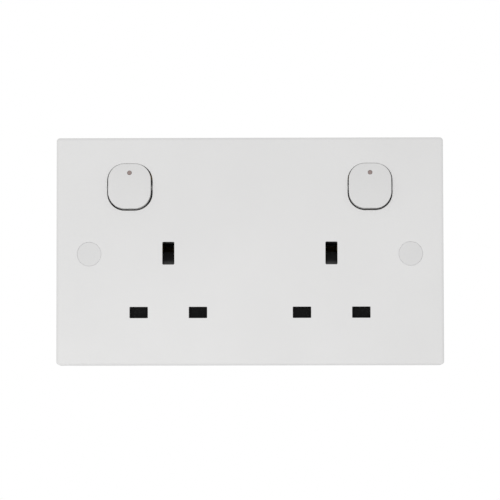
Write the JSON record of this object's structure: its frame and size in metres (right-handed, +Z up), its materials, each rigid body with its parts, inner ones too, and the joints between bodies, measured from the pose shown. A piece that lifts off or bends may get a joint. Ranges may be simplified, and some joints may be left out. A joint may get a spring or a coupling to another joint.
{
  "type": "uk twin socket",
  "caption": "White twin wall socket outlet with square pin apertures, a rocker switch for each outlet, safety shutters and brass contacts inside.",
  "frame": {"origin": "on the wall plane, midway between the two fixing screws", "axes": "+X to the right as seen from the front, +Y into the wall, +Z up; the front of the plate faces -Y"},
  "size_m": [0.146, 0.0355, 0.086],
  "materials": {
    "white_moulding": "smooth white gloss moulding",
    "rocker_moulding": "smooth white gloss moulding",
    "dark_housing": "dark moulded phenolic, satin",
    "black_shutter": "black nylon, satin",
    "red_mark": "red-brown moulded mark",
    "natural_nylon": "natural nylon",
    "brass_strip": "rolled and pressed brass",
    "brass_block": "extruded and machined brass",
    "silver_tip": "silver alloy contact, dull",
    "spring_steel": "drawn spring wire",
    "plated_steel": "bright zinc plate"
  },
  "bodies": {
    "base": {"front_plate": "white_moulding", "rear_housing": "dark_housing", "fixed_tip_left": "silver_tip", "live_link_left": "brass_strip", "fixing_screw_left": "plated_steel", "screw_cap_left": "white_moulding", "shutter_spring_left": "spring_steel", "fixed_tip_right": "silver_tip", "live_link_right": "brass_strip", "fixing_screw_right": "plated_steel", "screw_cap_right": "white_moulding", "shutter_spring_right": "spring_steel", "live_feed_strip": "brass_strip", "neutral_bar": "brass_strip", "earth_bar": "brass_strip", "terminal_neutral": "brass_block", "terminal_screw_neutral": "brass_block", "terminal_earth_left": "brass_block", "terminal_screw_earth_left": "brass_block", "terminal_earth_right": "brass_block", "terminal_screw_earth_right": "brass_block", "terminal_live": "brass_block", "terminal_screw_live": "brass_block", "housing_screws": "plated_steel"},
    "rocker_body_left": {"rocker_left": "rocker_moulding", "indicator_pip_left": "red_mark", "plunger_spring_left": "spring_steel"},
    "plunger_body_left": {"plunger_left": "natural_nylon"},
    "see_saw_left": {"moving_contact_left": "brass_strip", "moving_tip_left": "silver_tip"},
    "shutter_body_left": {"shutter_left": "black_shutter"},
    "rocker_body_right": {"rocker_right": "rocker_moulding", "indicator_pip_right": "red_mark", "plunger_spring_right": "spring_steel"},
    "plunger_body_right": {"plunger_right": "natural_nylon"},
    "see_saw_right": {"moving_contact_right": "brass_strip", "moving_tip_right": "silver_tip"},
    "shutter_body_right": {"shutter_right": "black_shutter"}
  },
  "joints": [
    {"name": "rocker_left_tilt", "type": "hinge", "parent": "base", "child": "rocker_body_left", "pos_m": [-0.04515, -0.0053, 0.0252], "axis": [1, 0, 0], "range_deg": [0, 10]},
    {"name": "plunger_left_slide", "type": "slide", "parent": "rocker_body_left", "child": "plunger_body_left", "axis": [0, -0.9962, 0.0872], "range_m": [0, 0.0008], "stiffness_N_per_m": 300, "springref_m": -0.003, "deforming": ["plunger_spring_left"]},
    {"name": "see_saw_left_tilt", "type": "hinge", "parent": "base", "child": "see_saw_left", "pos_m": [-0.04515, 0.00516, 0.0252], "axis": [1, 0, 0], "range_deg": [-20, 0]},
    {"name": "shutter_left_slide", "type": "slide", "parent": "base", "child": "shutter_body_left", "axis": [0, 0, -1], "range_m": [0, 0.0052], "stiffness_N_per_m": 100, "springref_m": -0.006, "deforming": ["shutter_spring_left"]},
    {"name": "rocker_right_tilt", "type": "hinge", "parent": "base", "child": "rocker_body_right", "pos_m": [0.04515, -0.0053, 0.0252], "axis": [1, 0, 0], "range_deg": [0, 10]},
    {"name": "plunger_right_slide", "type": "slide", "parent": "rocker_body_right", "child": "plunger_body_right", "axis": [0, -0.9962, 0.0872], "range_m": [0, 0.0008], "stiffness_N_per_m": 300, "springref_m": -0.003, "deforming": ["plunger_spring_right"]},
    {"name": "see_saw_right_tilt", "type": "hinge", "parent": "base", "child": "see_saw_right", "pos_m": [0.04515, 0.00516, 0.0252], "axis": [1, 0, 0], "range_deg": [-20, 0]},
    {"name": "shutter_right_slide", "type": "slide", "parent": "base", "child": "shutter_body_right", "axis": [0, 0, -1], "range_m": [0, 0.0052], "stiffness_N_per_m": 100, "springref_m": -0.006, "deforming": ["shutter_spring_right"]}
  ],
  "couplings": [
    {"joint": "see_saw_left_tilt", "follows": "rocker_left_tilt", "ratio": -2},
    {"joint": "see_saw_right_tilt", "follows": "rocker_right_tilt", "ratio": -2}
  ]
}
